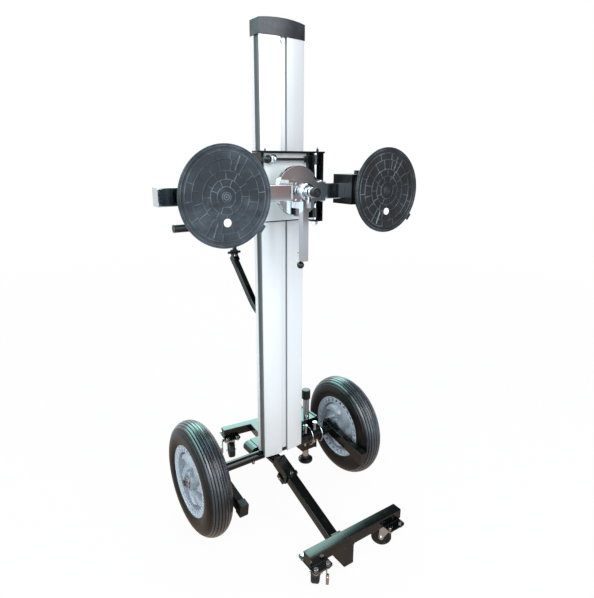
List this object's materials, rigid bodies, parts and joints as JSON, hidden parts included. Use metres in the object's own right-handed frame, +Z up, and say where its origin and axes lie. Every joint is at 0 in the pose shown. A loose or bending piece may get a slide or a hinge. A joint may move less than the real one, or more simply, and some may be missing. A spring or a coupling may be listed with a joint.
{
  "type": "glass trolley",
  "caption": "Two-wheeled glass trolley: tall mast with a lifting, swinging and turning crossbar that holds a sheet on two suction pads.",
  "frame": {"origin": "on the floor, straight below the middle of the axle", "axes": "+X to the viewer's right, facing the front; +Y to the back; +Z up. The pads face -Y."},
  "size_m": [0.81, 0.8293, 1.573],
  "materials": {
    "mast_alu": "satin anodised",
    "plate_alu": "satin anodised",
    "black_paint": "gloss black paint",
    "black_plastic": "satin black plastic",
    "zinc": "bright zinc plate",
    "black_rubber": "satin rubber",
    "tyre_rubber": "satin rubber",
    "rim_grey": "satin grey plastic",
    "pad_rubber": "matt slate rubber"
  },
  "bodies": {
    "base": {"mast": "mast_alu", "mast_cap": "black_plastic", "foot_frame": "black_paint", "axle": "black_paint", "axle_nuts": "zinc", "linch_pins": "zinc", "frame_bolts": "zinc", "front_leg": "black_paint", "front_bar": "black_paint", "front_castor_tops": "zinc", "prop_housing": "black_paint", "handle_arm": "black_paint", "winch_frame": "black_paint"},
    "wheel_left": {"tyre_left": "tyre_rubber", "rim_left": "rim_grey"},
    "wheel_right": {"tyre_right": "tyre_rubber", "rim_right": "rim_grey"},
    "support_left": {"arm_left": "black_paint", "arm_caps_left": "black_plastic"},
    "support_right": {"arm_right": "black_paint", "arm_caps_right": "black_plastic"},
    "linch_bow_inner": {"bow_inner": "zinc"},
    "linch_bow_outer": {"bow_outer": "zinc"},
    "prop": {"prop_rod": "zinc", "prop_cap": "black_plastic", "prop_foot": "black_plastic"},
    "rear_leg": {"rear_leg": "black_paint", "rear_castor_tops": "zinc", "rear_bolts": "zinc"},
    "castor_front_left": {"fork_front_left": "zinc"},
    "roller_front_left": {"castor_front_left": "black_rubber"},
    "lever_front_left": {"brake_front_left": "zinc"},
    "castor_front_right": {"fork_front_right": "zinc"},
    "roller_front_right": {"castor_front_right": "black_rubber"},
    "lever_front_right": {"brake_front_right": "zinc"},
    "castor_rear_left": {"fork_rear_left": "zinc"},
    "roller_rear_left": {"castor_rear_left": "black_rubber"},
    "lever_rear_left": {"brake_rear_left": "zinc"},
    "castor_rear_right": {"fork_rear_right": "zinc"},
    "roller_rear_right": {"castor_rear_right": "black_rubber"},
    "lever_rear_right": {"brake_rear_right": "zinc"},
    "carriage": {"carriage_frame": "black_paint", "hinge_pin": "zinc"},
    "swing": {"swing_plate": "plate_alu", "hinge_leaf": "black_paint"},
    "latch": {"latch_bar": "black_plastic"},
    "head": {"turntable": "zinc", "saddle": "zinc"},
    "cross": {"crossbar": "zinc"},
    "suction_left": {"pad_block_left": "black_plastic", "pad_left": "pad_rubber"},
    "pump_left": {"plunger_left": "black_plastic"},
    "suction_right": {"pad_block_right": "black_plastic", "pad_right": "pad_rubber"},
    "pump_right": {"plunger_right": "black_plastic"},
    "clamp": {"clamp_knob": "black_plastic"},
    "index": {"pull_rod": "black_plastic"},
    "winch": {"winch_drum": "zinc", "winch_crank": "black_plastic"},
    "handle": {"handle_top": "black_plastic"}
  },
  "joints": [
    {"name": "wheel_left_spin", "type": "hinge", "parent": "base", "child": "wheel_left", "pos_m": [-0.306, 0, 0.19], "axis": [1, 0, 0], "continuous": true},
    {"name": "wheel_right_spin", "type": "hinge", "parent": "base", "child": "wheel_right", "pos_m": [0.306, 0, 0.19], "axis": [1, 0, 0], "continuous": true},
    {"name": "arm_left_fold", "type": "hinge", "parent": "base", "child": "support_left", "pos_m": [-0.2435, 0, 0.19], "axis": [-1, 0, 0], "range_deg": [0, 95]},
    {"name": "arm_right_fold", "type": "hinge", "parent": "base", "child": "support_right", "pos_m": [0.2435, 0, 0.19], "axis": [-1, 0, 0], "range_deg": [0, 95]},
    {"name": "bow_inner_open", "type": "hinge", "parent": "base", "child": "linch_bow_inner", "pos_m": [0.122, 0, 0.234], "axis": [-1, 0, 0], "range_deg": [0, 120]},
    {"name": "bow_outer_open", "type": "hinge", "parent": "base", "child": "linch_bow_outer", "pos_m": [0.165, 0, 0.234], "axis": [-1, 0, 0], "range_deg": [0, 120]},
    {"name": "prop_slide", "type": "slide", "parent": "base", "child": "prop", "axis": [0, 0, 1], "range_m": [-0.062, 0.03]},
    {"name": "rear_leg_swivel", "type": "hinge", "parent": "base", "child": "rear_leg", "pos_m": [0.054, 0.13, 0.12], "axis": [0, 0, 1], "range_deg": [-10, 20]},
    {"name": "swivel_front_left", "type": "hinge", "parent": "base", "child": "castor_front_left", "pos_m": [-0.137, -0.411, 0.08], "axis": [0, 0, 1], "continuous": true},
    {"name": "roll_front_left", "type": "hinge", "parent": "castor_front_left", "child": "roller_front_left", "pos_m": [-0.12404, -0.3971, 0.032], "axis": [-0.7314, 0.682, 0], "continuous": true},
    {"name": "brake_front_left", "type": "hinge", "parent": "castor_front_left", "child": "lever_front_left", "pos_m": [-0.12201, -0.42498, 0.065], "axis": [-0.682, -0.7314, 0], "range_deg": [0, 25]},
    {"name": "swivel_front_right", "type": "hinge", "parent": "base", "child": "castor_front_right", "pos_m": [0.152, -0.411, 0.08], "axis": [0, 0, 1], "continuous": true},
    {"name": "roll_front_right", "type": "hinge", "parent": "castor_front_right", "child": "roller_front_right", "pos_m": [0.13856, -0.39757, 0.032], "axis": [-0.7071, -0.7071, 0], "continuous": true},
    {"name": "brake_front_right", "type": "hinge", "parent": "castor_front_right", "child": "lever_front_right", "pos_m": [0.1665, -0.3965, 0.065], "axis": [0.7071, -0.7071, 0], "range_deg": [0, 25]},
    {"name": "swivel_rear_left", "type": "hinge", "parent": "rear_leg", "child": "castor_rear_left", "pos_m": [-0.02666, 0.32877, 0.08], "axis": [0, 0, 1], "continuous": true},
    {"name": "roll_rear_left", "type": "hinge", "parent": "castor_rear_left", "child": "roller_rear_left", "pos_m": [-0.03222, 0.3106, 0.032], "axis": [0.9563, -0.2924, 0], "continuous": true},
    {"name": "brake_rear_left", "type": "hinge", "parent": "castor_rear_left", "child": "lever_rear_left", "pos_m": [-0.04627, 0.33476, 0.065], "axis": [0.2924, 0.9563, 0], "range_deg": [0, 25]},
    {"name": "swivel_rear_right", "type": "hinge", "parent": "rear_leg", "child": "castor_rear_right", "pos_m": [0.26066, 0.29502, 0.08], "axis": [0, 0, 1], "continuous": true},
    {"name": "roll_rear_right", "type": "hinge", "parent": "castor_rear_right", "child": "roller_rear_right", "pos_m": [0.26958, 0.31179, 0.032], "axis": [-0.8829, 0.4695, 0], "continuous": true},
    {"name": "brake_rear_right", "type": "hinge", "parent": "castor_rear_right", "child": "lever_rear_right", "pos_m": [0.27876, 0.28539, 0.065], "axis": [-0.4695, -0.8829, 0], "range_deg": [0, 25]},
    {"name": "carriage_lift", "type": "slide", "parent": "base", "child": "carriage", "axis": [0, 0, 1], "range_m": [-0.4, 0.26]},
    {"name": "head_swing", "type": "hinge", "parent": "carriage", "child": "swing", "pos_m": [0.098, -0.072, 1.1], "axis": [0, 0, 1], "range_deg": [0, 60]},
    {"name": "latch_turn", "type": "hinge", "parent": "swing", "child": "latch", "pos_m": [-0.07, -0.079, 1.194], "axis": [1, 0, 0], "range_deg": [0, 90]},
    {"name": "head_turn", "type": "hinge", "parent": "swing", "child": "head", "pos_m": [-0.004, -0.12, 1.1045], "axis": [0, -1, 0], "continuous": true},
    {"name": "crossbar_shift", "type": "slide", "parent": "head", "child": "cross", "axis": [1, 0, 0], "range_m": [-0.03, 0.03]},
    {"name": "pad_left_shift", "type": "slide", "parent": "cross", "child": "suction_left", "axis": [1, 0, 0], "range_m": [-0.045, 0.06]},
    {"name": "pump_left", "type": "slide", "parent": "suction_left", "child": "pump_left", "axis": [0, 0, -1], "range_m": [0, 0.0095], "stiffness_N_per_m": 300},
    {"name": "pad_right_shift", "type": "slide", "parent": "cross", "child": "suction_right", "axis": [1, 0, 0], "range_m": [-0.035, 0.045]},
    {"name": "pump_right", "type": "slide", "parent": "suction_right", "child": "pump_right", "axis": [0, 0, -1], "range_m": [0, 0.0095], "stiffness_N_per_m": 300},
    {"name": "clamp_turn", "type": "hinge", "parent": "head", "child": "clamp", "pos_m": [-0.009, -0.18, 1.1055], "axis": [0, -1, 0], "range_deg": [-90, 90]},
    {"name": "index_pull", "type": "slide", "parent": "head", "child": "index", "axis": [0, 0, -1], "range_m": [0, 0.01], "stiffness_N_per_m": 400},
    {"name": "winch_turn", "type": "hinge", "parent": "base", "child": "winch", "pos_m": [0.05, 0.105, 0.82], "axis": [1, 0, 0], "range_deg": [-775, 505]},
    {"name": "handle_fold", "type": "hinge", "parent": "base", "child": "handle", "pos_m": [-0.02, 0.2546, 0.86925], "axis": [-1, 0, 0], "range_deg": [0, 100]}
  ],
  "couplings": [
    {"joint": "winch_turn", "follows": "carriage_lift", "rad_per_m": 33.333}
  ]
}
